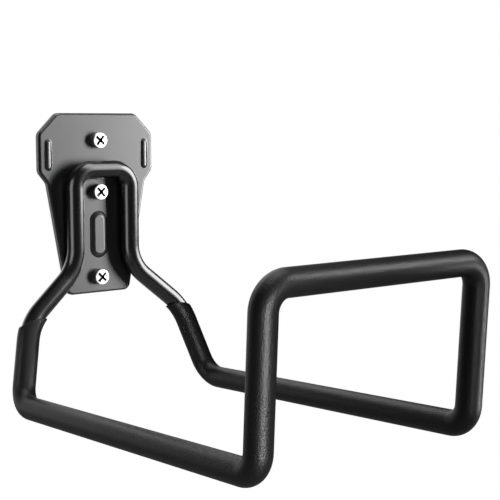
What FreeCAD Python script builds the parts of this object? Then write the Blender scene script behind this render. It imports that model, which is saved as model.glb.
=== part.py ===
"""Wall-mounted hose hanger: pressed back plate, bent bar loop, soft sleeve and three screws.

Frame: millimetres. The origin lies on the upper screw's axis, in the wall plane. +Z is up, +Y points
into the wall, so the arms reach out along -Y, and +X is to the right for someone who faces the wall.
"""
import FreeCAD, Part
import math
import os
import Sketcher

from FreeCAD import Placement, Rotation, Vector

# Driving dimensions, in millimetres and degrees
SIZES = {
    # Back plate; drops and rises are measured from the upper screw, the foot's margin from the lower one
    "plate_depth": 4.5,
    "sheet_thickness": 1.4,
    "head_width": 86.6,
    "head_rise": 18.0,
    "head_drop": 20.5,
    "chamfer_width": 13.5,
    "chamfer_height": 14.5,
    "shoulder_height": 7.5,
    "neck_width": 74.6,
    "foot_width": 48.0,
    "foot_margin": 11.0,
    "corner_radius": 5.0,
    "rim_radius": 1.6,
    # Upright ribs pressed into the head
    "rib_width": 4.5,
    "rib_length": 20.0,
    "rib_height": 0.9,
    "rib_flank_angle": 55.0,
    "rib_wall": 1.2,
    "rib_inset": 6.5,
    "rib_drop": 9.2,
    "rib_edge_radius": 0.6,
    # Oblong emboss midway between the two lower screws
    "emboss_width": 12.4,
    "emboss_length": 31.0,
    "emboss_height": 1.3,
    "emboss_flank_angle": 64.0,
    "emboss_edge_radius": 1.0,
    # Screws
    "middle_screw_drop": 34.5,
    "lower_screw_drop": 92.0,
    "screw_length": 38.0,
    "screw_head_dia": 10.6,
    "screw_head_height": 4.1,
    "screw_head_radius": 0.5,
    "shank_dia": 4.6,
    "shank_relief": 1.6,
    "thread_dia": 5.4,
    "screw_tip_length": 6.0,
    "hole_clearance": 0.8,
    "cross_length": 8.4,
    "cross_width": 1.6,
    "cross_depth": 1.8,
    # Bent bar: runs from corner to corner of its centre line, and inside radii of its bends
    "bar_dia": 12.0,
    "leg_spacing": 42.0,
    "arch_drop": 19.5,
    "leg_drop": 84.0,
    "flare_out": 37.5,
    "flare_forward": 5.5,
    "flare_height": 32.0,
    "lower_leg_out": 13.5,
    "lower_leg_forward": 14.5,
    "lower_leg_height": 49.5,
    "arm_length": 239.5,
    "arm_rise_angle": 3.5,
    "upright_length": 90.0,
    "upright_lean_angle": 3.0,
    "arch_bend_inside": 6.0,
    "flare_bend_inside": 22.0,
    "knee_bend_inside": 30.0,
    "arm_bend_inside": 10.0,
    "loop_bend_inside": 7.0,
    # Soft sleeve
    "sleeve_wall": 1.1,
    "sleeve_clearance": 0.1,
}

# How far each screw was turned when it was driven home, in degrees, and its drop below the upper one
SCREWS = {
    "upper_screw": (40.0, "0 mm"),
    "middle_screw": (48.0, "Sizes.middle_screw_drop * 1 mm"),
    "lower_screw": (44.0, "Sizes.lower_screw_drop * 1 mm"),
}

TOLERANCE = 1e-4

doc = FreeCAD.newDocument("hose_hanger")
sheet = doc.addObject("Spreadsheet::Sheet", "Sizes")
for row, (alias, value) in enumerate(SIZES.items(), start=1):
    sheet.set(f"A{row}", alias)
    sheet.set(f"B{row}", str(value))
    sheet.setAlias(f"B{row}", alias)
doc.recompute()


def size(alias):
    """Value of one driving dimension."""
    return float(sheet.get(alias))


def worth(formula):
    """Value of a formula of sheet cells."""
    return float(doc.Sizes.evalExpression(formula))


# Sketches and features


def new_body(label):
    """Adds an empty body that is named for its piece."""
    body = doc.addObject("PartDesign::Body", label)
    body.Label = label
    return body


def new_sketch(body, name, role, lift=None):
    """Adds a sketch on one origin plane of its body, lifted along the plane's normal by a formula."""
    sketch = body.newObject("Sketcher::SketchObject", name)
    plane = next(item for item in body.Origin.OriginFeatures if item.Role == role)
    sketch.AttachmentSupport = [(plane, "")]
    sketch.MapMode = "FlatFace"
    if lift:
        sketch.setExpression("AttachmentOffset.Base.z", lift)
    return sketch


def hold(sketch, kind, elements, formula):
    """Adds a dimension to a sketch and ties it to a formula."""
    index = sketch.addConstraint(Sketcher.Constraint(kind, *elements, worth(formula)))
    sketch.setExpression(f"Constraints[{index}]", formula)


def pin_point(sketch, element, vertex, across, up):
    """Places one point of a sketch by two formulas; "0" puts it on the sketch's own axis."""
    for kind, axis, formula in (("DistanceX", -2, across), ("DistanceY", -1, up)):
        if formula == "0":
            sketch.addConstraint(Sketcher.Constraint("PointOnObject", element, vertex, axis))
        else:
            hold(sketch, kind, (-1, 1, element, vertex), formula)


def draw_polygon(sketch, corners):
    """Draws a closed outline of straight edges through corners given as pairs of formulas."""
    points = [Vector(worth(across), worth(up), 0) for across, up in corners]
    count = len(points)
    for index in range(count):
        sketch.addGeometry(Part.LineSegment(points[index], points[(index + 1) % count]))
    for index in range(count):
        sketch.addConstraint(Sketcher.Constraint("Coincident", index, 2, (index + 1) % count, 1))
    for index, (across, up) in enumerate(corners):
        pin_point(sketch, index, 1, across, up)


def draw_slot(sketch, across, up, width, length):
    """Draws an upright oblong with round ends about a centre, all given as formulas."""
    radius = worth(width) / 2
    rise = (worth(length) - worth(width)) / 2
    centre = Vector(worth(across), worth(up), 0)
    first = sketch.GeometryCount
    normal = Vector(0, 0, 1)
    top = Part.Circle(centre + Vector(0, rise, 0), normal, radius)
    bottom = Part.Circle(centre - Vector(0, rise, 0), normal, radius)
    left_top = centre + Vector(-radius, rise, 0)
    right_top = centre + Vector(radius, rise, 0)
    left_bottom = centre + Vector(-radius, -rise, 0)
    right_bottom = centre + Vector(radius, -rise, 0)
    sketch.addGeometry(Part.ArcOfCircle(top, 0, math.pi))
    sketch.addGeometry(Part.LineSegment(left_top, left_bottom))
    sketch.addGeometry(Part.ArcOfCircle(bottom, math.pi, 2 * math.pi))
    sketch.addGeometry(Part.LineSegment(right_bottom, right_top))
    for index in range(4):
        follower = first + (index + 1) % 4
        sketch.addConstraint(Sketcher.Constraint("Tangent", first + index, 2, follower, 1))
    for arc, sign in ((first, "+"), (first + 2, "-")):
        pin_point(sketch, arc, 3, across, f"{up} {sign} ({length} - {width}) / 2")
        hold(sketch, "Radius", (arc,), f"{width} / 2")


def pad(body, name, sketch, length, taper=None):
    """Pads a sketch along its normal."""
    feature = body.newObject("PartDesign::Pad", name)
    feature.Profile = sketch
    feature.setExpression("Length", length)
    if taper:
        feature.setExpression("TaperAngle", taper)
    doc.recompute()
    return feature


def pocket(body, name, sketch, depth=None, forward=False):
    """Cuts a sketch against its normal, along it if forward, or right through if no depth is given."""
    before = body.Shape.Volume
    feature = body.newObject("PartDesign::Pocket", name)
    feature.Profile = sketch
    feature.Reversed = forward
    if depth:
        feature.setExpression("Length", depth)
    else:
        feature.Type = "ThroughAll"
        feature.SideType = "Symmetric"
    doc.recompute()
    if body.Shape.Volume > before - TOLERANCE:
        raise RuntimeError(f"{name} cuts nothing")
    return feature


def edges_in(feature, test):
    """Names the edges of a feature whose corner points all pass a test."""
    names = []
    for index, edge in enumerate(feature.Shape.Edges, start=1):
        if not edge.Degenerated and all(test(point) for point in edge.discretize(5)):
            names.append(f"Edge{index}")
    return names


def fillet(body, name, base, edges, radius):
    """Rounds named edges of a feature."""
    feature = body.newObject("PartDesign::Fillet", name)
    feature.Base = (base, edges)
    feature.setExpression("Radius", radius)
    doc.recompute()
    return feature


def at_depth(depth):
    """Test for points on the plane that lies a depth in front of the wall."""
    return lambda point: abs(point.y + depth) < TOLERANCE


# Back plate


def make_wall_plate():
    """Presses the dished plate, its ribs and emboss, and pierces the screw holes."""
    body = new_body("wall_plate")
    front = "Sizes.plate_depth * 1 mm"
    depth = size("plate_depth")

    right_side = [
        ("Sizes.head_width / 2 - Sizes.chamfer_width", "Sizes.head_rise"),
        ("Sizes.head_width / 2", "Sizes.head_rise - Sizes.chamfer_height"),
        ("Sizes.head_width / 2", "-Sizes.head_drop"),
        ("Sizes.neck_width / 2", "-Sizes.head_drop - Sizes.shoulder_height"),
        ("Sizes.foot_width / 2", "-Sizes.lower_screw_drop - Sizes.foot_margin"),
    ]
    left_side = [(f"-({across})", up) for across, up in reversed(right_side)]
    outline = new_sketch(body, "plate_outline", "XZ_Plane")
    draw_polygon(outline, right_side + left_side)
    blank = pad(body, "plate_blank", outline, front)

    wall_corners = [
        f"Edge{index}"
        for index, edge in enumerate(blank.Shape.Edges, start=1)
        if abs(edge.tangentAt(edge.FirstParameter).y) > 1 - TOLERANCE
    ]
    corners = fillet(body, "plate_corners", blank, wall_corners, "Sizes.corner_radius")
    rim = fillet(body, "plate_rim", corners, edges_in(corners, at_depth(depth)), "Sizes.rim_radius")

    back = [
        f"Face{index}"
        for index, face in enumerate(rim.Shape.Faces, start=1)
        if all(at_depth(0)(vertex.Point) for vertex in face.Vertexes)
    ]
    shell = body.newObject("PartDesign::Thickness", "plate_shell")
    shell.Base = (rim, back)
    shell.setExpression("Value", "Sizes.sheet_thickness")
    shell.Reversed = True
    shell.Join = "Intersection"
    doc.recompute()

    add_ribs(body, front, depth)
    add_emboss(body, front, depth)

    holes = new_sketch(body, "screw_holes", "XZ_Plane")
    for index, (_, drop) in enumerate(SCREWS.values()):
        height = "0" if drop == "0 mm" else f"-({drop})"
        holes.addGeometry(Part.Circle(Vector(0, worth(height), 0), Vector(0, 0, 1), size("thread_dia") / 2))
        pin_point(holes, index, 3, "0", height)
        hold(holes, "Diameter", (index,), "Sizes.thread_dia + Sizes.hole_clearance")
    pocket(body, "plate_holes", holes)
    return body


def add_ribs(body, front, depth):
    """Presses the two upright ribs of the head with their sloped flanks, hollow behind."""
    raised = new_sketch(body, "rib_outlines", "XZ_Plane", front)
    hollow = new_sketch(body, "rib_hollows", "XZ_Plane", f"{front} - Sizes.sheet_thickness * 1 mm")
    for side in ("", "-"):
        across = f"{side}(Sizes.head_width / 2 - Sizes.rib_inset)"
        draw_slot(raised, across, "-Sizes.rib_drop", "Sizes.rib_width", "Sizes.rib_length")
        inner_width = "(Sizes.rib_width - 2 * Sizes.rib_wall)"
        inner_length = "(Sizes.rib_length - 2 * Sizes.rib_wall)"
        draw_slot(hollow, across, "-Sizes.rib_drop", inner_width, inner_length)
    ribs = pad(body, "ribs", raised, "Sizes.rib_height", "-Sizes.rib_flank_angle")
    crest = edges_in(ribs, at_depth(depth + size("rib_height")))
    fillet(body, "rib_crests", ribs, crest, "Sizes.rib_edge_radius")
    pocket(body, "rib_backs", hollow, "Sizes.rib_height", forward=True)


def add_emboss(body, front, depth):
    """Presses the oblong emboss with its sloped flanks, hollow behind."""
    middle = "-(Sizes.middle_screw_drop + Sizes.lower_screw_drop) / 2"
    raised = new_sketch(body, "emboss_outline", "XZ_Plane", front)
    draw_slot(raised, "0", middle, "Sizes.emboss_width", "Sizes.emboss_length")
    emboss = pad(body, "emboss", raised, "Sizes.emboss_height", "-Sizes.emboss_flank_angle")
    crest = edges_in(emboss, at_depth(depth + size("emboss_height")))
    fillet(body, "emboss_crest", emboss, crest, "Sizes.emboss_edge_radius")
    hollow = new_sketch(body, "emboss_hollow", "XZ_Plane", f"{front} - Sizes.sheet_thickness * 1 mm")
    wall = "(Sizes.sheet_thickness + Sizes.emboss_height)"
    inner_width = f"(Sizes.emboss_width - 2 * {wall})"
    inner_length = f"(Sizes.emboss_length - 2 * {wall})"
    draw_slot(hollow, "0", middle, inner_width, inner_length)
    pocket(body, "emboss_back", hollow, "Sizes.emboss_height", forward=True)


# Screws


def make_screw(name, turn, drop):
    """Turns one pan-head screw, its head on the plate's front and its point towards the wall."""
    body = new_body(name)
    neck = "Sizes.sheet_thickness + Sizes.shank_relief"
    profile = new_sketch(body, f"{name}_profile", "YZ_Plane")
    draw_polygon(
        profile,
        [
            ("-Sizes.screw_head_height", "0"),
            ("-Sizes.screw_head_height", "Sizes.screw_head_dia / 2"),
            ("0", "Sizes.screw_head_dia / 2"),
            ("0", "Sizes.shank_dia / 2"),
            (neck, "Sizes.shank_dia / 2"),
            (neck, "Sizes.thread_dia / 2"),
            ("Sizes.screw_length - Sizes.screw_tip_length", "Sizes.thread_dia / 2"),
            ("Sizes.screw_length", "0"),
        ],
    )
    turned = body.newObject("PartDesign::Revolution", f"{name}_turned")
    turned.Profile = profile
    turned.ReferenceAxis = (profile, ["H_Axis"])
    turned.Angle = 360
    doc.recompute()

    face = edges_in(turned, at_depth(size("screw_head_height")))
    fillet(body, f"{name}_head", turned, face, "Sizes.screw_head_radius")

    long = "Sizes.cross_length / 2"
    slim = "Sizes.cross_width / 2"
    arm = [(slim, slim), (slim, long), (f"-{slim}", long)]
    cross = []
    for _ in range(4):
        cross.extend(arm)
        arm = [(f"-({up})", across) for across, up in arm]
    recess = new_sketch(body, f"{name}_cross", "XZ_Plane", "Sizes.screw_head_height * 1 mm")
    draw_polygon(recess, cross)
    pocket(body, f"{name}_recess", recess, "Sizes.cross_depth")

    body.Placement = Placement(Vector(0, 0, 0), Rotation(Vector(0, 1, 0), turn))
    body.setExpression("Placement.Base.y", "-Sizes.plate_depth * 1 mm")
    body.setExpression("Placement.Base.z", f"-({drop})")
    return body


def make_plate_screws():
    """Groups the three equal screws."""
    group = doc.addObject("Part::Compound", "plate_screws")
    group.Links = [make_screw(name, turn, drop) for name, (turn, drop) in SCREWS.items()]
    return group


# Bent bar and its sleeve


def centre_line_corners():
    """Corners of the right half of the bar's centre line, from the top of the arch to the front bar."""
    leg_x = size("leg_spacing") / 2
    bar_y = -size("plate_depth") - size("bar_dia") / 2
    rise = math.radians(size("arm_rise_angle"))
    lean = math.radians(size("upright_lean_angle"))
    arch = Vector(leg_x, bar_y, -size("arch_drop"))
    flare = Vector(leg_x, bar_y, -size("leg_drop"))
    knee = flare + Vector(size("flare_out"), -size("flare_forward"), -size("flare_height"))
    heel = knee + Vector(size("lower_leg_out"), -size("lower_leg_forward"), -size("lower_leg_height"))
    toe = heel + Vector(0, -math.cos(rise), math.sin(rise)) * size("arm_length")
    tip = toe + Vector(0, -math.sin(lean), math.cos(lean)) * size("upright_length")
    return [
        Vector(0, arch.y, arch.z),
        arch,
        flare,
        knee,
        heel,
        toe,
        tip,
        Vector(0, tip.y, tip.z),
    ]


def bend_points(before, corner, after, radius):
    """Start, middle and end of the arc that rounds a corner, and the middle of its second half."""
    towards_start = (before - corner).normalize()
    towards_end = (after - corner).normalize()
    half_angle = towards_start.getAngle(towards_end) / 2
    inward = (towards_start + towards_end).normalize()
    centre = corner + inward * (radius / math.sin(half_angle))
    reach = radius / math.tan(half_angle)
    start = corner + towards_start * reach
    end = corner + towards_end * reach
    middle = centre - inward * radius
    late = centre + ((middle - centre) + (end - centre)).normalize() * radius
    return start, middle, end, late


def bar_bends():
    """The arcs of the right half of the bar, top to front."""
    corners = centre_line_corners()
    insides = ("arch", "flare", "knee", "arm", "loop", "loop")
    bends = []
    for index, name in enumerate(insides, start=1):
        radius = size(f"{name}_bend_inside") + size("bar_dia") / 2
        bends.append(bend_points(*corners[index - 1:index + 2], radius))
    return corners, bends


def full_path():
    """Centre line of the right half of the bar."""
    corners, bends = bar_bends()
    edges = []
    point = corners[0]
    for start, middle, end, _ in bends:
        edges.append(Part.LineSegment(point, start).toShape())
        edges.append(Part.Arc(start, middle, end).toShape())
        point = end
    edges.append(Part.LineSegment(point, corners[-1]).toShape())
    return Part.Wire(edges)


def sleeved_path():
    """The part of the centre line that the sleeve covers, from halfway round the knee."""
    corners, bends = bar_bends()
    knee, *front_bends = bends[2:]
    _, middle, end, late = knee
    edges = [Part.Arc(middle, late, end).toShape()]
    point = end
    for start, middle, end, _ in front_bends:
        edges.append(Part.LineSegment(point, start).toShape())
        edges.append(Part.Arc(start, middle, end).toShape())
        point = end
    edges.append(Part.LineSegment(point, corners[-1]).toShape())
    return Part.Wire(edges)


def sweep_round(name, spine, radius):
    """Sweeps a circle, its radius given by a formula, along a path."""
    first = spine.Shape.Edges[0]
    start = first.valueAt(first.FirstParameter)
    along = first.tangentAt(first.FirstParameter)
    circle = doc.addObject("Part::Circle", f"{name}_section")
    circle.setExpression("Radius", radius)
    circle.Placement = Placement(start, Rotation(Vector(0, 0, 1), along))
    solid = doc.addObject("Part::Sweep", name)
    solid.Sections = [circle]
    solid.Spine = (spine, [f"Edge{index + 1}" for index in range(len(spine.Shape.Edges))])
    solid.Solid = True
    solid.Frenet = False
    doc.recompute()
    return solid


def both_halves(label, half):
    """Mirrors one half in the middle plane and joins the two."""
    other = doc.addObject("Part::Mirroring", f"{label}_left")
    other.Source = half
    other.Normal = Vector(1, 0, 0)
    whole = doc.addObject("Part::MultiFuse", label)
    whole.Shapes = [half, other]
    whole.Refine = True
    doc.recompute()
    return whole


def make_bent_bar():
    """Bends the round bar into its closed loop."""
    path = doc.addObject("Part::Feature", "bar_path")
    path.Shape = full_path()
    half = sweep_round("bent_bar_right", path, "Sizes.bar_dia / 2")
    return both_halves("bent_bar", half)


def make_grip_sleeve():
    """Slips the soft sleeve over the loop, from knee to knee."""
    path = doc.addObject("Part::Feature", "sleeve_path")
    path.Shape = sleeved_path()
    bore = "Sizes.bar_dia / 2 + Sizes.sleeve_clearance"
    outside = sweep_round("sleeve_outside", path, f"{bore} + Sizes.sleeve_wall")
    inside = sweep_round("sleeve_inside", path, bore)
    half = doc.addObject("Part::Cut", "grip_sleeve_right")
    half.Base = outside
    half.Tool = inside
    doc.recompute()
    return both_halves("grip_sleeve", half)


pieces = [make_wall_plate(), make_bent_bar(), make_grip_sleeve(), make_plate_screws()]
doc.recompute()

for item in doc.Objects:
    if "Invalid" in item.State or "Error" in item.State:
        raise RuntimeError(f"{item.Name} failed: {item.State}")

os.makedirs("parts", exist_ok=True)
for piece in pieces:
    if piece.Shape.isNull() or not piece.Shape.isValid():
        raise RuntimeError(f"{piece.Label} has no valid shape")
    piece.Shape.exportStep(f"parts/{piece.Label}.step")
    print(piece.Label, len(piece.Shape.Solids), "solids", round(piece.Shape.Volume, 1), "mm3")
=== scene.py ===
"""Looks of a wall-mounted hose hanger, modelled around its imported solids.

The frame is that of the solids, in metres: the origin lies on the upper screw's axis in the wall plane, +Z
is up, +Y points into the wall and +X is to the right for someone who faces the wall. The classes hold their
sizes in millimetres and degrees, and MM turns millimetres into metres.
"""
import logging
import math
from collections.abc import Callable, Iterator
from contextlib import contextmanager
from dataclasses import dataclass, field
from enum import Enum

import bmesh
import bpy
from bpy.types import Material, Node, NodeSocket, NodeTree, Object
from mathutils import Matrix, Vector


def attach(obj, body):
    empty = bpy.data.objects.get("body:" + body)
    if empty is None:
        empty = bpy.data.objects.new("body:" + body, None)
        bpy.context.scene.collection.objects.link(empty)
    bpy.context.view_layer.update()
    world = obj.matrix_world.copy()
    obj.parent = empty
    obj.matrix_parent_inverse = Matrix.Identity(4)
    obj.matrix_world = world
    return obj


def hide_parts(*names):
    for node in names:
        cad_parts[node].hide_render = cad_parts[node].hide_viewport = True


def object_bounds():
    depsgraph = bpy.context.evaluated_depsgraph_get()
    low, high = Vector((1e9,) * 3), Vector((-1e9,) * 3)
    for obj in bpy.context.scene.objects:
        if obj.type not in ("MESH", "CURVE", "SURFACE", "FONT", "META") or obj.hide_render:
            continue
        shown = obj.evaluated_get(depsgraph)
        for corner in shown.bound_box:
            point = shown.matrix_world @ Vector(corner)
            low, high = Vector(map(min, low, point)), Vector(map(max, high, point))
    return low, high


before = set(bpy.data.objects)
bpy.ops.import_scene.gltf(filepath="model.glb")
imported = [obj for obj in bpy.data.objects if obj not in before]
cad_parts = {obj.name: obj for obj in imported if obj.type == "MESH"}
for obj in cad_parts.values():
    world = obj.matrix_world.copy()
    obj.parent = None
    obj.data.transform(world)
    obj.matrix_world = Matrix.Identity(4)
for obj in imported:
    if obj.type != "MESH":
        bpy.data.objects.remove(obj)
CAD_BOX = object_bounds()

LOG = logging.getLogger("hose_hanger")
BODY = "root"
MM = 0.001
TOLERANCE = 1e-6
IMAGE_SIDE = 500

# Sizes that more than one piece follows, in millimetres, and how far each screw's cross is turned
PLATE_DEPTH = 4.5
SCREWS = ("upper_screw", "middle_screw", "lower_screw")
SCREW_DROPS = (0.0, 34.5, 92.0)
SCREW_TURNS = (40.0, 48.0, 44.0)


# Modelling by hand


class Element(Enum):
    """Kinds of mesh element that edit mode selects."""

    VERTEX = "VERT"
    EDGE = "EDGE"
    FACE = "FACE"


class Cut(Enum):
    """Ways of combining a piece with a tool shape."""

    ADD = "UNION"
    TAKE_AWAY = "DIFFERENCE"


def settle(name: str) -> Object:
    """Names the primitive that was just added and moves its place into its mesh.

    Args:
        name: Name of the new piece.

    Returns:
        The piece, at the origin, unturned and unscaled.
    """
    piece = bpy.context.active_object
    piece.name = name
    piece.data.name = name
    bpy.ops.object.transform_apply(location=True, rotation=True, scale=True)
    return piece


def take_up(piece: Object) -> None:
    """Makes a piece the only selected object and the active one.

    Args:
        piece: The piece to take up.
    """
    bpy.ops.object.select_all(action="DESELECT")
    piece.select_set(True)
    bpy.context.view_layer.objects.active = piece


@contextmanager
def editing(piece: Object) -> Iterator[None]:
    """Keeps a piece in edit mode for the length of a with block.

    Args:
        piece: The piece to edit.

    Yields:
        Nothing, while the piece is in edit mode.
    """
    take_up(piece)
    bpy.ops.object.mode_set(mode="EDIT")
    yield
    bpy.ops.object.mode_set(mode="OBJECT")


def pick(piece: Object, kind: Element, test: Callable[[Vector], bool], crease: float = 0.0) -> None:
    """Selects, in edit mode, just the elements whose points all pass a test.

    Args:
        piece: The piece in edit mode.
        kind: Kind of element to select.
        test: Test of a point in metres.
        crease: Least angle between an edge's two faces, in radians.
    """
    bpy.ops.mesh.select_mode(type=kind.value)
    bpy.ops.mesh.select_all(action="DESELECT")
    shape = bmesh.from_edit_mesh(piece.data)
    elements = {Element.VERTEX: shape.verts, Element.EDGE: shape.edges, Element.FACE: shape.faces}[kind]
    for element in elements:
        points = [element] if kind is Element.VERTEX else element.verts
        chosen = all(test(point.co) for point in points)
        if chosen and crease:
            chosen = element.calc_face_angle(0.0) > crease
        element.select_set(chosen)
    shape.select_flush_mode()
    bmesh.update_edit_mesh(piece.data)


def at_y(level: float) -> Callable[[Vector], bool]:
    """Test for points on the plane at a Y level in millimetres."""
    return lambda point: abs(point.y - level * MM) < TOLERANCE


def apply_modifier(piece: Object, kind: str, **settings: object) -> None:
    """Adds a modifier to a piece, sets it up and applies it.

    Args:
        piece: The piece to change.
        kind: Blender's type of the modifier.
        **settings: Properties of the modifier.
    """
    take_up(piece)
    modifier = piece.modifiers.new(kind.lower(), kind)
    for name, value in settings.items():
        setattr(modifier, name, value)
    bpy.ops.object.modifier_apply(modifier=modifier.name)


def combine(piece: Object, tool: Object, cut: Cut) -> None:
    """Adds a closed tool shape to a piece or takes it away, and throws the tool out."""
    apply_modifier(piece, "BOOLEAN", object=tool, operation=cut.value, solver="EXACT")
    bpy.data.objects.remove(tool)


def turn_faces_outwards(piece: Object) -> None:
    """Merges doubled points of a piece and makes its faces point outwards.

    Args:
        piece: The piece to mend.
    """
    with editing(piece):
        bpy.ops.mesh.select_all(action="SELECT")
        bpy.ops.mesh.remove_doubles(threshold=TOLERANCE)
        bpy.ops.mesh.normals_make_consistent(inside=False)


def smooth(piece: Object, angle: float = 35.0) -> None:
    """Shades a piece smooth up to an edge angle, with flat faces kept flat.

    Args:
        piece: The piece to shade.
        angle: Steepest edge, in degrees, that is still smoothed.
    """
    take_up(piece)
    bpy.ops.object.shade_smooth_by_angle(angle=math.radians(angle))
    apply_modifier(piece, "WEIGHTED_NORMAL", weight=100, keep_sharp=True)


# Colours and nodes

WHITE = "#ffffff"

# Places of a mix node's sockets, for colours and for plain numbers
COLOUR_A, COLOUR_B, COLOUR_RESULT = 6, 7, 2
NUMBER_A, NUMBER_B, NUMBER_RESULT = 2, 3, 0

Inputs = dict[str | int, object]


def linear(hex_colour: str) -> tuple[float, float, float, float]:
    """Turns an sRGB hex colour into linear red, green, blue and alpha.

    Args:
        hex_colour: Six hex digits after a hash sign.

    Returns:
        The linear colour, opaque.
    """
    channels = []
    for start in (1, 3, 5):
        value = int(hex_colour[start:start + 2], 16) / 255
        channels.append(value / 12.92 if value <= 0.04045 else ((value + 0.055) / 1.055) ** 2.4)
    return (*channels, 1.0)


def blank_material(name: str) -> tuple[Material, NodeTree]:
    """Makes an empty material.

    Args:
        name: Name of the material.

    Returns:
        The material and its node tree.
    """
    material = bpy.data.materials.new(name)
    material.use_nodes = True
    material.node_tree.nodes.clear()
    return material, material.node_tree


def add_node(tree: NodeTree, kind: str, inputs: Inputs | None = None, **settings: object) -> Node:
    """Adds a node to a tree with its settings, values and links.

    Args:
        tree: The node tree.
        kind: Blender's type of the node.
        inputs: Value or linked socket of each input, by its name or place.
        **settings: Properties of the node.

    Returns:
        The new node.
    """
    node = tree.nodes.new(kind)
    for name, value in settings.items():
        setattr(node, name, value)
    for name, value in (inputs or {}).items():
        socket = node.inputs[name]
        if isinstance(value, NodeSocket):
            tree.links.new(value, socket)
        else:
            socket.default_value = value
    return node


def per_metre(spacing: float) -> float:
    """Texture scale that gives a pattern its spacing in millimetres."""
    return 1 / (spacing * MM)


@dataclass(frozen=True)
class Finish:
    """What every finish has: a name, the record's slot, and a look made of nodes."""

    name: str
    slot: str

    def look(self, tree: NodeTree) -> Inputs:
        """Adds the finish's patterns to its tree, and returns the inputs of its shader."""
        raise NotImplementedError

    def skin(self) -> Material:
        """Makes the finish's material when it is first asked for.

        Returns:
            The material.
        """
        material = bpy.data.materials.get(self.name)
        if not material:
            material, tree = blank_material(self.name)
            shader = add_node(tree, "ShaderNodeBsdfPrincipled", self.look(tree))
            add_node(tree, "ShaderNodeOutputMaterial", {"Surface": shader.outputs["BSDF"]})
        return material

    def dress(self, piece: Object, node: str) -> None:
        """Gives a piece this finish and puts it in the frame in place of a solid.

        Args:
            piece: The piece to dress.
            node: Name of the solid that it stands for.
        """
        if not piece.data.materials:
            piece.data.materials.append(self.skin())
        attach(piece, BODY)
        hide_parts(node)


@dataclass(frozen=True)
class PowderCoat(Finish):
    """Black polyester powder coat, sprayed dry and baked on steel.

    The melted film flows out to a smooth gloss with a faint orange peel, so it mirrors what is near it, a
    little softened, and shows no colour of its own but black. On flat sheet it dries to a satin that spreads
    its reflections more.
    """

    name: str = "gloss_black_powder_coat"
    slot: str = "black_paint"
    colour: str = "#0b0b0c"
    ior: float = 1.6
    roughness: float = 0.26
    roughness_spread: float = 0.15
    film_roughness: float = 0.24
    peel_spacing: float = 2.2
    peel_depth: float = 0.002
    cloud_spacing: float = 14.0

    def look(self, tree: NodeTree) -> Inputs:
        """Adds the film's faint peel and its clouded gloss.

        Args:
            tree: The material's node tree.

        Returns:
            Inputs of the material's shader.
        """
        place = add_node(tree, "ShaderNodeTexCoord")
        peel = add_node(
            tree, "ShaderNodeTexNoise",
            {"Vector": place.outputs["Object"], "Scale": per_metre(self.peel_spacing), "Detail": 1.0},
        )
        bump = add_node(
            tree, "ShaderNodeBump",
            {"Height": peel.outputs["Fac"], "Distance": self.peel_depth * MM, "Strength": 1.0},
        )
        cloud = add_node(
            tree, "ShaderNodeTexNoise",
            {"Vector": place.outputs["Object"], "Scale": per_metre(self.cloud_spacing), "Detail": 3.0},
        )
        dullness = add_node(
            tree, "ShaderNodeMapRange",
            {
                "Value": cloud.outputs["Fac"],
                "To Min": self.roughness * (1 - self.roughness_spread),
                "To Max": self.roughness * (1 + self.roughness_spread),
            },
        )
        return {
            "Base Color": linear(self.colour), "IOR": self.ior, "Roughness": dullness.outputs["Result"],
            "Coat Weight": 1.0, "Coat IOR": self.ior, "Coat Roughness": self.film_roughness,
            "Normal": bump.outputs["Normal"], "Coat Normal": bump.outputs["Normal"],
        }


@dataclass(frozen=True)
class FoamRubber(Finish):
    """Closed-cell black foam rubber, extruded as a tube with a dull skin.

    The skin is matte and very dark, with a faint blue cast, and its fine grain sparkles a little where light
    grazes it.
    """

    name: str = "black_foam_rubber"
    slot: str = "soft_sleeve"
    pore_colour: str = "#040405"
    skin_colour: str = "#08080a"
    ior: float = 1.4
    roughness: float = 0.44
    roughness_spread: float = 0.1
    # Real pores are about 0.2 mm wide; they are drawn coarser so that they show in the render
    grain_spacing: float = 0.85
    grain_depth: float = 0.2
    cloud_spacing: float = 9.0

    def look(self, tree: NodeTree) -> Inputs:
        """Adds the skin's fine grain with its darker pores, and its clouded dullness.

        Args:
            tree: The material's node tree.

        Returns:
            Inputs of the material's shader.
        """
        place = add_node(tree, "ShaderNodeTexCoord")
        grain = add_node(
            tree, "ShaderNodeTexNoise",
            {"Vector": place.outputs["Object"], "Scale": per_metre(self.grain_spacing), "Detail": 2.0},
        )
        colour = add_node(
            tree, "ShaderNodeMix",
            {
                "Factor": grain.outputs["Fac"],
                COLOUR_A: linear(self.pore_colour), COLOUR_B: linear(self.skin_colour),
            },
            data_type="RGBA",
        )
        cloud = add_node(
            tree, "ShaderNodeTexNoise",
            {"Vector": place.outputs["Object"], "Scale": per_metre(self.cloud_spacing), "Detail": 2.0},
        )
        dullness = add_node(
            tree, "ShaderNodeMapRange",
            {
                "Value": cloud.outputs["Fac"],
                "To Min": self.roughness * (1 - self.roughness_spread),
                "To Max": self.roughness * (1 + self.roughness_spread),
            },
        )
        bump = add_node(
            tree, "ShaderNodeBump",
            {"Height": grain.outputs["Fac"], "Distance": self.grain_depth * MM, "Strength": 1.0},
        )
        return {
            "Base Color": colour.outputs[COLOUR_RESULT], "IOR": self.ior,
            "Roughness": dullness.outputs["Result"], "Normal": bump.outputs["Normal"],
        }


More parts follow.
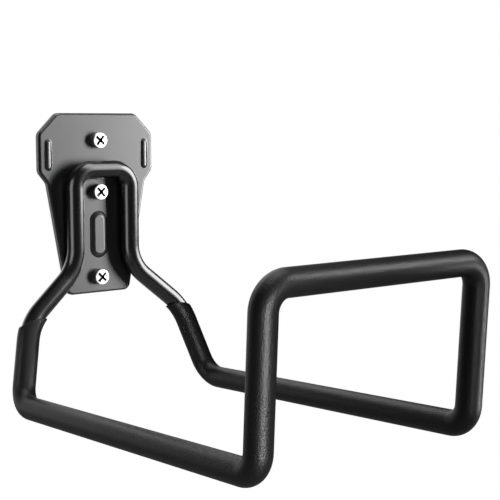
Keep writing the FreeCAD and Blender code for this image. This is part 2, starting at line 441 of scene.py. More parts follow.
@dataclass(frozen=True)
class ZincPlate(Finish):
    """Bright zinc electroplate on a steel screw.

    The plating is a thin clear-passivated metal film: almost white, with a soft mirror shine.
    """

    name: str = "bright_zinc_plate"
    slot: str = "bright_zinc"
    colour: str = "#e4e5e6"
    roughness: float = 0.4
    roughness_spread: float = 0.2
    tarnish_spacing: float = 1.5

    def look(self, tree: NodeTree) -> Inputs:
        """Adds the faint tarnish that clouds the shine.

        Args:
            tree: The material's node tree.

        Returns:
            Inputs of the material's shader.
        """
        place = add_node(tree, "ShaderNodeTexCoord")
        tarnish = add_node(
            tree, "ShaderNodeTexNoise",
            {"Vector": place.outputs["Object"], "Scale": per_metre(self.tarnish_spacing), "Detail": 3.0},
        )
        dullness = add_node(
            tree, "ShaderNodeMapRange",
            {
                "Value": tarnish.outputs["Fac"],
                "To Min": self.roughness * (1 - self.roughness_spread),
                "To Max": self.roughness * (1 + self.roughness_spread),
            },
        )
        return {
            "Base Color": linear(self.colour), "Metallic": 1.0, "Roughness": dullness.outputs["Result"],
        }


@dataclass(frozen=True)
class RecessPaintedShade(Finish):
    """Dark, dull metal painted inside a screw's recess as painted shade, for the shade that falls between
    the recess's narrow walls.

    It is dark and rough, so the recess reads as a dark cross on the bright head.
    """

    name: str = "recess_painted_shade"
    slot: str = "bright_zinc"
    # A dark grey that stands in for the shade inside the recess: painted shade.
    colour: str = "#242425"
    roughness: float = 0.5

    def look(self, tree: NodeTree) -> Inputs:
        """Returns the inputs of a dark, even, dull metal's shader: the recess's painted shade."""
        return {"Base Color": linear(self.colour), "Metallic": 1.0, "Roughness": self.roughness}


# Back plate


@dataclass(frozen=True)
class PressedForm:
    """Upright oblong with round ends, pressed forward out of a sheet and hollow behind.

    Attributes:
        width: Its width at the sheet's front, in millimetres.
        length: Its length there.
        height: How far its crest stands before the front.
        flank_angle: Angle between its flanks and the way forward, in degrees.
        edge_radius: Radius of the crest's edge.
        wall: How far the hollow's outline lies inside its own.
    """

    width: float
    length: float
    height: float
    flank_angle: float
    edge_radius: float
    wall: float


@dataclass
class WallPlate:
    """Dished back plate pressed from sheet, with ribs, an emboss and screw holes.

    Rises and drops are measured from the upper screw's axis.
    """

    depth: float = PLATE_DEPTH
    sheet: float = 1.4
    head_width: float = 86.6
    head_rise: float = 18.0
    head_drop: float = 20.5
    chamfer_width: float = 13.5
    chamfer_height: float = 14.5
    shoulder_height: float = 7.5
    neck_width: float = 74.6
    foot_width: float = 48.0
    foot_drop: float = 103.0
    flat_angle: float = 1.0
    corner_radius: float = 5.0
    corner_segments: int = 8
    rim_radius: float = 1.6
    rim_segments: int = 10
    rib: PressedForm = PressedForm(
        width=4.5, length=20.0, height=0.9, flank_angle=55.0, edge_radius=0.6, wall=1.2,
    )
    rib_inset: float = 6.5
    rib_drop: float = 9.2
    emboss: PressedForm = PressedForm(
        width=12.4, length=31.0, height=1.3, flank_angle=64.0, edge_radius=0.4, wall=2.7,
    )
    edge_segments: int = 5
    root_radius: float = 0.5
    root_segments: int = 3
    root_crease_angle: float = 20.0
    press_sides: int = 64
    screw_drops: tuple[float, ...] = SCREW_DROPS
    hole_dia: float = 6.2
    punch_length: float = 18.0
    finish: Finish = PowderCoat(name="satin_black_powder_coat", roughness=0.4, film_roughness=0.38)

    def build(self) -> Object:
        """Presses, pierces and coats the plate.

        Returns:
            The finished plate.
        """
        plate = self.cut_blank()
        self.round_corners(plate)
        self.dish(plate)
        self.press_forms(plate)
        self.round_press_roots(plate)
        self.pierce(plate)
        smooth(plate)
        self.finish.dress(plate, "wall_plate")
        return plate

    def cut_blank(self) -> Object:
        """Cuts the flat outline: head, shoulders and tapered foot, with the head's corners cropped.

        Returns:
            The blank, one flat face in the wall plane.
        """
        middle = (self.head_rise - self.head_drop) / 2 * MM
        bpy.ops.mesh.primitive_plane_add(size=1, location=(0, 0, middle), rotation=(math.pi / 2, 0, 0))
        bpy.context.active_object.scale = (self.head_width * MM, (self.head_rise + self.head_drop) * MM, 1)
        plate = settle("back_plate")
        shoulder = self.head_drop + self.shoulder_height
        with editing(plate):
            pick(plate, Element.EDGE, lambda point: point.z < -self.head_drop * MM + TOLERANCE)
            self.draw_down(self.shoulder_height, self.neck_width / self.head_width)
            self.draw_down(self.foot_drop - shoulder, self.foot_width / self.neck_width)
            for side in (-1, 1):
                across = side * (self.head_width / 2 - self.chamfer_width)
                bpy.ops.mesh.select_all(action="SELECT")
                bpy.ops.mesh.bisect(
                    plane_co=Vector((across, 0, self.head_rise)) * MM,
                    plane_no=(side * self.chamfer_height, 0, self.chamfer_width),
                    clear_outer=True,
                )
            bpy.ops.mesh.select_all(action="SELECT")
            bpy.ops.mesh.dissolve_limited(angle_limit=math.radians(self.flat_angle))
        return plate

    def draw_down(self, travel: float, narrowing: float) -> None:
        """Extends the blank's lower edge down by a travel in millimetres and narrows it to a share."""
        bpy.ops.mesh.extrude_edges_move(TRANSFORM_OT_translate={"value": (0, 0, -travel * MM)})
        bpy.ops.transform.resize(value=(narrowing, 1, 1), center_override=(0, 0, 0))

    def round_corners(self, plate: Object) -> None:
        """Rounds each corner of the outline to the same radius.

        Args:
            plate: The flat blank.
        """
        outline = [plate.data.vertices[index].co.copy() for index in plate.data.polygons[0].vertices]
        count = len(outline)
        with editing(plate):
            for index, corner in enumerate(outline):
                before = outline[index - 1] - corner
                after = outline[(index + 1) % count] - corner
                reach = self.corner_radius * MM / math.tan(before.angle(after) / 2)
                pick(plate, Element.VERTEX, lambda point: (point - corner).length < TOLERANCE)
                bpy.ops.mesh.bevel(affect="VERTICES", offset=reach, segments=self.corner_segments)

    def dish(self, plate: Object) -> None:
        """Draws the blank forward into a dish with a rounded rim, open at the back.

        Args:
            plate: The rounded blank.
        """
        with editing(plate):
            bpy.ops.mesh.select_mode(type=Element.FACE.value)
            bpy.ops.mesh.select_all(action="SELECT")
            bpy.ops.mesh.extrude_region_move(TRANSFORM_OT_translate={"value": (0, -self.depth * MM, 0)})
            pick(plate, Element.FACE, at_y(0))
            bpy.ops.mesh.delete(type="FACE")
            pick(plate, Element.EDGE, at_y(-self.depth))
            bpy.ops.mesh.bevel(affect="EDGES", offset=self.rim_radius * MM, segments=self.rim_segments)
        turn_faces_outwards(plate)
        apply_modifier(plate, "SOLIDIFY", thickness=self.sheet * MM, offset=-1.0, use_even_offset=True)

    def oblong(self, across: float, drop: float, width: float, length: float, back: float) -> Object:
        """Makes a flat upright oblong with round ends that faces forward.

        Args:
            across: X of its centre, in millimetres.
            drop: How far its centre lies below the upper screw.
            width: Its width.
            length: Its length.
            back: Y of its face.

        Returns:
            The oblong, as a tool shape.
        """
        centre = Vector((across, back, -drop)) * MM
        bpy.ops.mesh.primitive_circle_add(
            vertices=self.press_sides, radius=width / 2 * MM, fill_type="NGON", location=centre,
            rotation=(math.pi / 2, 0, 0),
        )
        tool = settle("press_tool")
        stretch = (length - width) / 2 * MM
        with editing(tool):
            for side in (1, -1):
                pick(tool, Element.VERTEX, lambda point: side * (point.z - centre.z) > TOLERANCE)
                bpy.ops.transform.translate(value=(0, 0, side * stretch))
        return tool

    def raise_face(self, tool: Object, travel: float) -> None:
        """Extrudes a tool's only face forward.

        Args:
            tool: The flat tool shape.
            travel: How far, in millimetres.
        """
        with editing(tool):
            bpy.ops.mesh.select_mode(type=Element.FACE.value)
            bpy.ops.mesh.select_all(action="SELECT")
            bpy.ops.mesh.extrude_region_move(TRANSFORM_OT_translate={"value": (0, -travel * MM, 0)})
        turn_faces_outwards(tool)

    def press_forms(self, plate: Object) -> None:
        """Presses the two ribs of the head and the emboss between the two lower screws.

        Args:
            plate: The dished plate.
        """
        for side in (-1, 1):
            self.press(plate, self.rib, side * (self.head_width / 2 - self.rib_inset), self.rib_drop)
        self.press(plate, self.emboss, 0, sum(self.screw_drops[1:]) / 2)

    def press(self, plate: Object, form: PressedForm, across: float, drop: float) -> None:
        """Presses one form out of the plate's front.

        Args:
            plate: The dished plate.
            form: The form to press.
            across: X of its centre, in millimetres.
            drop: How far its centre lies below the upper screw.
        """
        inside = self.sheet - self.depth
        crest = self.oblong(across, drop, form.width, form.length, inside - self.sheet / 2)
        self.raise_face(crest, self.sheet / 2)
        lean = form.height * math.tan(math.radians(form.flank_angle))
        with editing(crest):
            pick(crest, Element.FACE, at_y(-self.depth))
            bpy.ops.mesh.inset(thickness=lean * MM, depth=form.height * MM)
            pick(crest, Element.EDGE, at_y(-self.depth - form.height))
            bpy.ops.mesh.bevel(affect="EDGES", offset=form.edge_radius * MM, segments=self.edge_segments)
        combine(plate, crest, Cut.ADD)
        wall = 2 * form.wall
        hollow = self.oblong(across, drop, form.width - wall, form.length - wall, inside + self.sheet)
        self.raise_face(hollow, self.sheet + form.height)
        combine(plate, hollow, Cut.TAKE_AWAY)

    def round_press_roots(self, plate: Object) -> None:
        """Rounds the line where each pressed form rises from the flat front.

        Args:
            plate: The pressed plate.
        """
        flat_half_width = self.head_width / 2 - self.rim_radius
        front = at_y(-self.depth)
        with editing(plate):
            pick(
                plate, Element.EDGE,
                lambda point: front(point) and abs(point.x) < flat_half_width * MM - TOLERANCE,
                crease=math.radians(self.root_crease_angle),
            )
            bpy.ops.mesh.bevel(affect="EDGES", offset=self.root_radius * MM, segments=self.root_segments)

    def pierce(self, plate: Object) -> None:
        """Pierces the screw holes.

        Args:
            plate: The pressed plate.
        """
        for drop in self.screw_drops:
            bpy.ops.mesh.primitive_cylinder_add(
                vertices=self.press_sides, radius=self.hole_dia / 2 * MM, depth=self.punch_length * MM,
                location=(0, 0, -drop * MM), rotation=(math.pi / 2, 0, 0),
            )
            combine(plate, settle("hole_punch"), Cut.TAKE_AWAY)


# Bent bar and its sleeve


@dataclass(frozen=True)
class Bend:
    """An arc of a tube's centre line, in metres and radians.

    Attributes:
        start: Point where the arc begins.
        end: Point where it ends.
        centre: Centre of the arc.
        axis: Axis that the arc turns about, by the right-hand rule.
        angle: How far it turns.
    """

    start: Vector
    end: Vector
    centre: Vector
    axis: Vector
    angle: float

    @classmethod
    def around(cls, before: Vector, corner: Vector, after: Vector, radius: float) -> "Bend":
        """Finds the arc that rounds a corner of a route.

        Args:
            before: The corner before.
            corner: The corner to round.
            after: The corner after.
            radius: Radius of the arc.

        Returns:
            The arc.
        """
        towards_start = (before - corner).normalized()
        towards_end = (after - corner).normalized()
        half = towards_start.angle(towards_end) / 2
        centre = corner + (towards_start + towards_end).normalized() * (radius / math.sin(half))
        start = corner + towards_start * (radius / math.tan(half))
        end = corner + towards_end * (radius / math.tan(half))
        axis = (start - centre).cross(end - centre).normalized()
        return cls(start, end, centre, axis, math.pi - 2 * half)

    def later_half(self) -> "Bend":
        """The arc from its middle to its end."""
        arm = Matrix.Rotation(self.angle / 2, 3, self.axis) @ (self.start - self.centre)
        return Bend(self.centre + arm, self.end, self.centre, self.axis, self.angle / 2)

    def heading(self) -> Vector:
        """Direction of the centre line where the arc begins."""
        return self.axis.cross(self.start - self.centre).normalized()


@dataclass
class BarRoute:
    """Centre line of the bar's right half, from the top of the arch to the middle of the front bar."""

    bar_dia: float = 12.0
    plate_depth: float = PLATE_DEPTH
    leg_spacing: float = 42.0
    arch_drop: float = 19.5
    leg_drop: float = 84.0
    flare: tuple[float, float, float] = (37.5, -5.5, -32.0)
    lower_leg: tuple[float, float, float] = (13.5, -14.5, -49.5)
    arm_length: float = 239.5
    arm_rise_angle: float = 3.5
    upright_length: float = 90.0
    upright_lean_angle: float = 3.0
    inside_radii: tuple[float, ...] = (6.0, 22.0, 30.0, 10.0, 7.0, 7.0)

    def corners(self) -> list[Vector]:
        """Works out the corners of the centre line.

        Returns:
            The corners, in metres.
        """
        rise = math.radians(self.arm_rise_angle)
        lean = math.radians(self.upright_lean_angle)
        arch = Vector((self.leg_spacing / 2, -self.plate_depth - self.bar_dia / 2, -self.arch_drop))
        flare = Vector((arch.x, arch.y, -self.leg_drop))
        knee = flare + Vector(self.flare)
        heel = knee + Vector(self.lower_leg)
        toe = heel + Vector((0, -math.cos(rise), math.sin(rise))) * self.arm_length
        tip = toe + Vector((0, -math.sin(lean), math.cos(lean))) * self.upright_length
        top_middle = Vector((0, arch.y, arch.z))
        front_middle = Vector((0, tip.y, tip.z))
        return [corner * MM for corner in (top_middle, arch, flare, knee, heel, toe, tip, front_middle)]

    def bends(self) -> list[Bend]:
        """Works out the arcs of the centre line.

        Returns:
            The arcs at the arch, flare, knee, heel, toe and tip.
        """
        corners = self.corners()
        return [
            Bend.around(*corners[index:index + 3], (inside + self.bar_dia / 2) * MM)
            for index, inside in enumerate(self.inside_radii)
        ]


class TubeBench:
    """Bench that grows a round tube in edit mode, a straight run, an arc or a new radius at a time."""

    SIDES = 64
    ARC_STEP = math.radians(3.0)

    def __init__(self, name: str, start: Vector, heading: Vector, radius: float) -> None:
        """Lays down the tube's first ring.

        Args:
            name: Name of the piece.
            start: Centre of the first ring.
            heading: Direction in which the tube sets off.
            radius: Radius of the first ring.
        """
        turn = heading.to_track_quat("Z", "Y").to_euler()
        bpy.ops.mesh.primitive_circle_add(vertices=self.SIDES, radius=radius, location=start, rotation=turn)
        self.piece = settle(name)
        self.end = start.copy()
        self.radius = radius
        take_up(self.piece)
        bpy.ops.object.mode_set(mode="EDIT")
        bpy.ops.mesh.select_all(action="SELECT")

    def run_to(self, point: Vector, radius: float | None = None) -> None:
        """Extrudes the tube's end straight to a point.

        Args:
            point: Centre of the new ring.
            radius: Radius of the new ring, if it changes.
        """
        bpy.ops.mesh.extrude_edges_move(TRANSFORM_OT_translate={"value": point - self.end})
        self.end = point.copy()
        if radius:
            ratio = radius / self.radius
            bpy.ops.transform.resize(value=(ratio, ratio, ratio), center_override=point)
            self.radius = radius

    def follow(self, bend: Bend) -> None:
        """Takes the tube round an arc.

        Args:
            bend: The arc, which begins at the tube's end.
        """
        steps = max(2, round(bend.angle / self.ARC_STEP))
        bpy.ops.mesh.spin(steps=steps, angle=-bend.angle, center=bend.centre, axis=bend.axis)
        self.end = bend.end.copy()

    def close_end(self) -> None:
        """Closes the tube's end with a face."""
        bpy.ops.mesh.edge_face_add()

    def take_off(self) -> Object:
        """Leaves edit mode and hands over the piece.

        Returns:
            The finished tube.
        """
        bpy.ops.object.mode_set(mode="OBJECT")
        turn_faces_outwards(self.piece)
        return self.piece


def mirror_across_middle(piece: Object) -> None:
    """Adds the left half of a piece whose right half ends in the middle plane."""
    apply_modifier(piece, "MIRROR", use_axis=(True, False, False), merge_threshold=10 * TOLERANCE)
    turn_faces_outwards(piece)


@dataclass
class BentBar:
    """Round steel bar bent into one closed loop."""

    route: BarRoute = field(default_factory=BarRoute)
    finish: Finish = field(default_factory=PowderCoat)

    def build(self) -> Object:
        """Bends and coats the bar.

        Returns:
            The finished bar.
        """
        corners = self.route.corners()
        bench = TubeBench("bent_loop_bar", corners[0], corners[1] - corners[0], self.route.bar_dia / 2 * MM)
        for bend in self.route.bends():
            bench.run_to(bend.start)
            bench.follow(bend)
        bench.run_to(corners[-1])
        bar = bench.take_off()
        mirror_across_middle(bar)
        smooth(bar)
        self.finish.dress(bar, "bent_bar")
        return bar


@dataclass
class GripSleeve:
    """Soft sleeve drawn over the loop, from halfway round one knee to the same place on the other."""

    route: BarRoute = field(default_factory=BarRoute)
    wall: float = 1.1
    clearance: float = 0.1
    edge_radius: float = 0.35
    edge_rings: int = 4
    bias_angle: float = 43.0
    bias_lead: float = 2.0
    finish: Finish = field(default_factory=FoamRubber)

    def build(self) -> Object:
        """Draws the sleeve over the bar and gives it its skin.

        Returns:
            The finished sleeve.
        """
        knee, *front_bends = self.route.bends()[2:]
        knee = knee.later_half()
        bore = self.route.bar_dia / 2 + self.clearance
        outside = bore + self.wall
        bench = TubeBench("foam_sleeve", knee.start, knee.heading(), bore * MM)
        for ring in range(self.edge_rings + 1):
            turn = ring / self.edge_rings * math.pi / 2
            depth = self.edge_radius * (1 - math.cos(turn))
            radius = outside - self.edge_radius * (1 - math.sin(turn))
            bench.run_to(knee.start + knee.heading() * depth * MM, radius * MM)
        turned = self.edge_radius * MM / (knee.start - knee.centre).length
        bench.follow(Bend(bench.end, knee.end, knee.centre, knee.axis, knee.angle - turned))
        for bend in front_bends:
            bench.run_to(bend.start)
            bench.follow(bend)
        bench.run_to(self.route.corners()[-1])
        sleeve = bench.take_off()
        self.slant_end(sleeve, knee)
        mirror_across_middle(sleeve)
        smooth(sleeve)
        self.finish.dress(sleeve, "grip_sleeve")
        return sleeve

    def slant_end(self, sleeve: Object, knee: Bend) -> None:
        """Draws the sleeve's end up a little and slants it, so that it reaches furthest inside the bend.

        Args:
            sleeve: The sleeve's right half.
            knee: The arc that begins at the sleeve's end.
        """
        start = knee.start - knee.centre
        slant = math.tan(math.radians(self.bias_angle))
        for vertex in sleeve.data.vertices:
            arm = vertex.co - knee.centre
            level = arm.dot(knee.axis) * knee.axis
            arm -= level
            turned = math.atan2(start.cross(arm).dot(knee.axis), start.dot(arm))
            if -TOLERANCE < turned < knee.angle and (vertex.co - knee.start).length < start.length:
                share = 1 - turned / knee.angle
                slide = slant * (arm.length - start.length) - self.bias_lead * MM
                turn = slide * share / start.length
                vertex.co = knee.centre + level + Matrix.Rotation(turn, 3, knee.axis) @ arm


# Screws


@dataclass
class PlateScrew:
    """Cross-recess pan-head screw for a wall plug, modelled along +Y with its head's seat at Y = 0."""

    seat: float = -PLATE_DEPTH
    length: float = 38.0
    head_dia: float = 10.6
    head_height: float = 4.1
    head_radius: float = 0.5
    head_steps: int = 6
    crown: float = 0.12
    crown_share: float = 0.3
    neck_length: float = 3.0
    neck_dia: float = 4.6
    core_dia: float = 4.1
    thread_dia: float = 5.4
    thread_pitch: float = 2.4
    thread_steps: int = 40
    thread_sink: float = 0.05
    thread_runout_turns: float = 1.5
    tip_length: float = 6.0
    tip_setback: float = 0.3
    tip_radius: float = 0.1
    cross_length: float = 8.4
    cross_width: float = 1.8
    cross_depth: float = 1.8
    cross_taper: float = 0.4
    finish: Finish = field(default_factory=ZincPlate)
    # Dark metal for the recess: painted shade in place of the shade between the recess's walls.
    recess_shade_paint: Finish = field(default_factory=RecessPaintedShade)

    def build_all(self, places: dict[str, tuple[float, float]]) -> list[Object]:
        """Turns one screw and drives a copy of it home at each place.

        Args:
            places: Drop below the upper screw and turn in degrees for each screw's name.

        Returns:
            The screws.
        """
        pattern = self.turn_blank()
        self.cut_cross(pattern)
        thread = self.roll_thread()
        take_up(pattern)
        thread.select_set(True)
        bpy.ops.object.join()
        smooth(pattern, angle=40.0)
        screws = []
        for name, (drop, turn) in places.items():
            screw = pattern.copy()
            screw.data = pattern.data.copy()
            screw.name = name
            bpy.context.scene.collection.objects.link(screw)
            screw.data.transform(Matrix.Rotation(math.radians(turn), 4, "Y"))
            screw.data.transform(Matrix.Translation(Vector((0, self.seat, -drop)) * MM))
            self.finish.dress(screw, "plate_screws")
            screws.append(screw)
        bpy.data.objects.remove(pattern)
        return screws

    def turn_blank(self) -> Object:
        """Turns head, neck, core and point on one axis.

        Returns:
            The blank, with its seat at Y = 0.
        """
        head = self.head_dia / 2
        rings = [(-self.head_height - self.crown, self.crown_share * head)]
        for step in reversed(range(self.head_steps + 1)):
            turn = step / self.head_steps * math.pi / 2
            rings.append((
                -self.head_height + self.head_radius * (1 - math.sin(turn)),
                head - self.head_radius * (1 - math.cos(turn)),
            ))
        rings += [
            (0, head),
            (0, self.neck_dia / 2),
            (self.neck_length, self.neck_dia / 2),
            (self.neck_length, self.core_dia / 2),
            (self.length - self.tip_length, self.core_dia / 2),
            (self.length - self.tip_setback, self.tip_radius),
        ]
        first_y, first_radius = rings[0]
        start = Vector((0, first_y, 0)) * MM
        bench = TubeBench("screw_pattern", start, Vector((0, 1, 0)), first_radius * MM)
        bench.close_end()
        bpy.ops.mesh.select_all(action="SELECT")
        for y, radius in rings[1:]:
            bench.run_to(Vector((0, y, 0)) * MM, radius * MM)
        bench.close_end()
        return bench.take_off()

    def cut_cross(self, screw: Object) -> None:
        """Sinks the cross recess into the head with two tapered blades, and paints shade into it with a dark
        second material.

        Args:
            screw: The turned blank.
        """
        face = -self.head_height - self.crown
        for turn in (0, 90):
            bpy.ops.mesh.primitive_cube_add(size=1, location=(0, (face + self.cross_depth / 2) * MM, 0))
            bpy.context.active_object.scale = (
                self.cross_length * MM, (self.cross_depth + 2 * self.crown) * MM, self.cross_width * MM,
            )
            blade = settle("recess_blade")
            with editing(blade):
                pick(blade, Element.FACE, lambda point: point.y > (face + self.cross_depth) * MM)
                bpy.ops.transform.resize(
                    value=(self.cross_taper, 1, self.cross_taper), center_override=(0, 0, 0),
                )
            blade.data.transform(Matrix.Rotation(math.radians(turn), 4, "Y"))
            combine(screw, blade, Cut.TAKE_AWAY)
        screw.data.materials.append(self.finish.skin())
        screw.data.materials.append(self.recess_shade_paint.skin())
        # Faces inside the recess take the dark material: painted shade where the recess's walls shade each
        # other.
        for polygon in screw.data.polygons:
            x, y, z = polygon.center / MM
            if math.hypot(x, z) < self.cross_length / 2 and face + 2 * self.crown < y < -self.crown:
                polygon.material_index = 1

    def roll_thread(self) -> Object:
        """Rolls the thread: a ridge wound along the core that fades out at the neck and at the point.

        Returns:
            The thread, as a shell that sits on the core.
        """
        root = self.core_dia / 2 - self.thread_sink
        crest = self.thread_dia / 2
        begin = self.neck_length
        turns = int((self.length - begin) / self.thread_pitch - self.thread_runout_turns)
        # Base and height of the three-cornered circle that becomes the ridge's section
        base, height = math.sqrt(3), 3 / 2
        bpy.ops.mesh.primitive_circle_add(vertices=3, radius=1, rotation=(0, 0, -math.pi / 2))
        bpy.context.active_object.scale = (self.thread_pitch * MM / base, (crest - root) * MM / height, 1)
        thread = settle("screw_thread")
        with editing(thread):
            bpy.ops.mesh.select_all(action="SELECT")
            lift = Vector(((root + (crest - root) / 3) * MM, (begin + self.thread_pitch) * MM, 0))
            bpy.ops.transform.translate(value=lift)
            pick(thread, Element.EDGE, lambda point: point.x < (root + TOLERANCE / MM) * MM)
            bpy.ops.mesh.delete(type="EDGE")
        apply_modifier(
            thread, "SCREW", axis="Y", angle=2 * math.pi, screw_offset=self.thread_pitch * MM,
            iterations=turns, steps=self.thread_steps, render_steps=self.thread_steps,
        )
        self.fade_thread(thread, root, begin)
        turn_faces_outwards(thread)
        return thread

    def fade_thread(self, thread: Object, root: float, begin: float) -> None:
        """Lowers the ridge to the core over its first turn and draws it in to the point.

        Args:
            thread: The wound ridge.
            root: Radius at the ridge's foot.
            begin: Y where the thread begins.
        """
        tip_start = self.length - self.tip_length
        for vertex in thread.data.vertices:
            along = vertex.co.y / MM
            out = Vector((vertex.co.x, 0, vertex.co.z))
            radius = out.length / MM
            growth = min(1.0, max(0.0, (along - begin) / self.thread_pitch))
            radius = root + (radius - root) * growth
            if along > tip_start:
                radius *= max(0.0, (self.length - along) / self.tip_length)
            vertex.co = out.normalized() * radius * MM + Vector((0, vertex.co.y, 0))


# Studio


class Reach(Enum):
    """Pieces that a softbox lights; flags on stands keep its light off the rest."""

    PLATE_AND_SLEEVE = ("back_plate", "foam_sleeve", *SCREWS)
    PLATE = ("back_plate", *SCREWS)
    BAR = ("bent_loop_bar",)
    SLEEVE = ("foam_sleeve",)


@dataclass(frozen=True)
class Softbox:
    """Soft lamp, placed by its bearing from the point that it faces.

    Attributes:
        name: Name of the lamp.
        reach: What it lights.
        azimuth: Bearing in degrees, 0 in front of the plate and growing to the right.
        elevation: Height above the horizon, in degrees.
        distance: Distance in metres.
        width: Width in metres.
        height: Height in metres.
        brightness: Radiance of its face without a grid, where 1 shows white.
        aim: Point that it faces, in millimetres, if that isn't the object's middle.
        spread: Angle in degrees in which its grid lets light fan out.
    """

    name: str
    reach: Reach
    azimuth: float
    elevation: float
    distance: float
    width: float
    height: float
    brightness: float
    aim: tuple[float, float, float] | None = None
    spread: float = 180.0

    def place(self, middle: Vector, lit: dict[Reach, bpy.types.Collection]) -> None:
        """Hangs the lamp so that it faces its aim.

        Args:
            middle: The object's middle, which a lamp without an aim faces.
            lit: Pieces that each kind of flagged lamp lights.
        """
        azimuth, elevation = math.radians(self.azimuth), math.radians(self.elevation)
        level = math.cos(elevation)
        bearing = Vector((math.sin(azimuth) * level, -math.cos(azimuth) * level, math.sin(elevation)))
        target = Vector(self.aim) * MM if self.aim else middle
        bpy.ops.object.light_add(type="AREA", location=target + bearing * self.distance)
        lamp = bpy.context.active_object
        lamp.name = self.name
        lamp.rotation_euler = bearing.to_track_quat("Z", "Y").to_euler()
        lamp.data.shape = "RECTANGLE"
        lamp.data.size = self.width
        lamp.data.size_y = self.height
        lamp.data.spread = math.radians(self.spread)
        lamp.data.energy = self.brightness * math.pi * self.width * self.height
        lamp.visible_camera = False
        lamp.light_linking.receiver_collection = lit[self.reach]


PLATE_LAMPS = (
    Softbox(
        "plate_softbox", Reach.PLATE, azimuth=54, elevation=-2, distance=3,
        width=0.75, height=2.5, brightness=33,
    ),
    Softbox(
        "top_softbox", Reach.PLATE_AND_SLEEVE, azimuth=0, elevation=88, distance=1,
        width=0.8, height=0.8, brightness=3.5,
    ),
)
BAR_LAMPS = (
    Softbox(
        "side_softbox", Reach.BAR, azimuth=68.6, elevation=17, distance=1.066,
        width=0.757, height=0.8, brightness=6.5,
    ),
    Softbox(
        "arch_softbox", Reach.BAR, azimuth=43, elevation=46, distance=1.064,
        width=0.64, height=1.9, brightness=3.1,
    ),
    Softbox(
        "left_strip", Reach.BAR, azimuth=-80.6, elevation=1, distance=0.994,
        width=0.54, height=1.1, brightness=1.9,
    ),
)
SLEEVE_LAMPS = (
    Softbox(
        "front_softbox", Reach.SLEEVE, azimuth=-2, elevation=-10, distance=0.45,
        width=0.2, height=0.3, brightness=2.9, aim=(-135, -272, -110), spread=46,
    ),
    Softbox(
        "high_softbox", Reach.SLEEVE, azimuth=52, elevation=28, distance=0.6,
        width=0.22, height=0.42, brightness=0.85, aim=(5, -285, -60), spread=30,
    ),
    Softbox(
        "back_softbox", Reach.SLEEVE, azimuth=168, elevation=40, distance=1,
        width=0.9, height=0.6, brightness=2,
    ),
    Softbox(
        "knee_strip", Reach.SLEEVE, azimuth=-98, elevation=5, distance=0.5,
        width=0.15, height=0.3, brightness=0.4, aim=(-72, -20, -130), spread=30,
    ),
    Softbox(
        "edge_strip", Reach.SLEEVE, azimuth=49, elevation=-12, distance=0.5,
        width=0.08, height=0.22, brightness=2.1, aim=(107, -230, -120), spread=17,
    ),
)


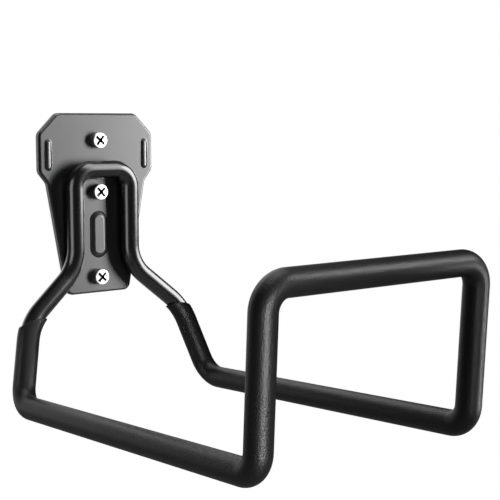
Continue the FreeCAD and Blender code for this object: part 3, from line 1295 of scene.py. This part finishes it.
@dataclass
class Studio:
    """White studio: a pale floor well below the hanger, a white surround and soft lamps."""

    floor_level: float = -0.45
    floor_side: float = 2.4
    floor_colour: str = "#f2f2f2"
    floor_shine: float = 0.9
    floor_gleam: float = 0.1
    fill: float = 0.12
    gloom: float = 0.03
    # Y of a bearing's unit vector where the dim room begins to turn white, and where it is white
    backdrop_edge: tuple[float, float] = (0.7, 0.9)
    softboxes: tuple[Softbox, ...] = PLATE_LAMPS + BAR_LAMPS + SLEEVE_LAMPS

    def build(self, pieces: list[Object]) -> None:
        """Lays the floor, sets the surround and hangs the lamps.

        Args:
            pieces: The hanger's pieces.
        """
        self.lay_floor()
        self.surround()
        lit = {}
        for reach in Reach:
            lit[reach] = bpy.data.collections.new(f"lit_{reach.name.lower()}")
            for piece in pieces:
                if piece.name in reach.value:
                    lit[reach].objects.link(piece)
        low, high = CAD_BOX
        for softbox in self.softboxes:
            softbox.place((low + high) / 2, lit)

    def lay_floor(self) -> None:
        """Lays the plain pale floor; it shines for the eye, to stay white, and gleams a little in gloss."""
        bpy.ops.mesh.primitive_plane_add(size=self.floor_side, location=(0, 0, self.floor_level))
        floor = settle("floor")
        material, tree = blank_material("pale_floor")
        path = add_node(tree, "ShaderNodeLightPath")
        gleam = add_node(
            tree, "ShaderNodeMath", {0: path.outputs["Is Glossy Ray"], 1: self.floor_gleam},
            operation="MULTIPLY",
        )
        strength = add_node(
            tree, "ShaderNodeMath",
            {0: self.sight_share(tree, path), 1: self.floor_shine, 2: gleam.outputs["Value"]},
            operation="MULTIPLY_ADD",
        )
        shade = add_node(tree, "ShaderNodeBsdfDiffuse", {"Color": linear(self.floor_colour)})
        shine = add_node(
            tree, "ShaderNodeEmission", {"Color": linear(WHITE), "Strength": strength.outputs["Value"]},
        )
        both = add_node(
            tree, "ShaderNodeAddShader", {0: shade.outputs["BSDF"], 1: shine.outputs["Emission"]},
        )
        add_node(tree, "ShaderNodeOutputMaterial", {"Surface": both.outputs["Shader"]})
        floor.data.materials.append(material)

    def surround(self) -> None:
        """Makes the surround a white backdrop behind the hanger and a dim room before it."""
        world = bpy.data.worlds.new("white_surround")
        world.use_nodes = True
        tree = world.node_tree
        tree.nodes.clear()
        path = add_node(tree, "ShaderNodeLightPath")
        place = add_node(tree, "ShaderNodeTexCoord")
        heading = add_node(tree, "ShaderNodeSeparateXYZ", {"Vector": place.outputs["Generated"]})
        edge_start, edge_end = self.backdrop_edge
        behind = add_node(
            tree, "ShaderNodeMapRange",
            {
                "Value": heading.outputs["Y"], "From Min": edge_start, "From Max": edge_end,
                "To Min": self.gloom, "To Max": 1.0,
            },
        )
        unseen = add_node(
            tree, "ShaderNodeMix",
            {
                "Factor": path.outputs["Is Glossy Ray"],
                NUMBER_A: self.fill, NUMBER_B: behind.outputs["Result"],
            },
        )
        strength = add_node(
            tree, "ShaderNodeMix",
            {
                "Factor": self.sight_share(tree, path),
                NUMBER_A: unseen.outputs[NUMBER_RESULT], NUMBER_B: 1.0,
            },
        )
        white = add_node(
            tree, "ShaderNodeBackground",
            {"Color": linear(WHITE), "Strength": strength.outputs[NUMBER_RESULT]},
        )
        add_node(tree, "ShaderNodeOutputWorld", {"Surface": white.outputs["Background"]})
        bpy.context.scene.world = world

    def sight_share(self, tree: NodeTree, path: Node) -> NodeSocket:
        """Adds a node that tells rays of sight from rays of light.

        Args:
            tree: The node tree to add it to.
            path: The tree's light path node.

        Returns:
            A socket that is 1 for what the eye sees, also through glass, and 0 for the rest.
        """
        eye = add_node(
            tree, "ShaderNodeMath",
            {0: path.outputs["Is Camera Ray"], 1: path.outputs["Is Transmission Ray"]}, operation="MAXIMUM",
        )
        return eye.outputs["Value"]


@dataclass(frozen=True)
class ViewCamera:
    """Camera at the photograph's viewing angle, fitted to the plate's corners and the bar's bends.

    Attributes:
        place: Its place, in millimetres.
        turn: Angle in degrees from +Y towards +X in which it looks.
        tilt: Angle in degrees by which it looks down.
        focal_length: Focal length in pixels of the square image.
        near_clip: Nearest distance that it sees, in metres.
    """

    place: tuple[float, float, float] = (-386.4, -668.7, 11.5)
    turn: float = 37.835
    tilt: float = 6.405
    focal_length: float = 1131.8
    near_clip: float = 0.01

    def set_up(self) -> None:
        """Adds the camera and makes it the scene's own."""
        turn, tilt = math.radians(self.turn), math.radians(self.tilt)
        ahead = Vector((math.sin(turn) * math.cos(tilt), math.cos(turn) * math.cos(tilt), -math.sin(tilt)))
        bpy.ops.object.camera_add(location=Vector(self.place) * MM)
        camera = bpy.context.active_object
        camera.rotation_euler = ahead.to_track_quat("-Z", "Y").to_euler()
        camera.data.lens = camera.data.sensor_width * self.focal_length / IMAGE_SIDE
        camera.data.clip_start = self.near_clip
        bpy.context.scene.camera = camera


def main() -> None:
    """Builds the hanger piece by piece, sets up the studio and reports each piece."""
    logging.basicConfig(level=logging.INFO, format="%(name)s: %(message)s")
    bpy.ops.object.select_all(action="DESELECT")
    pieces = [WallPlate().build(), BentBar().build(), GripSleeve().build()]
    screw_places = zip(SCREW_DROPS, SCREW_TURNS)
    pieces += PlateScrew().build_all(dict(zip(SCREWS, screw_places)))
    for piece in pieces:
        LOG.info("%s: %d faces", piece.name, len(piece.data.polygons))
    Studio().build(pieces)
    ViewCamera().set_up()
    bpy.context.scene.view_settings.view_transform = "Standard"


if __name__ == "__main__":
    main()
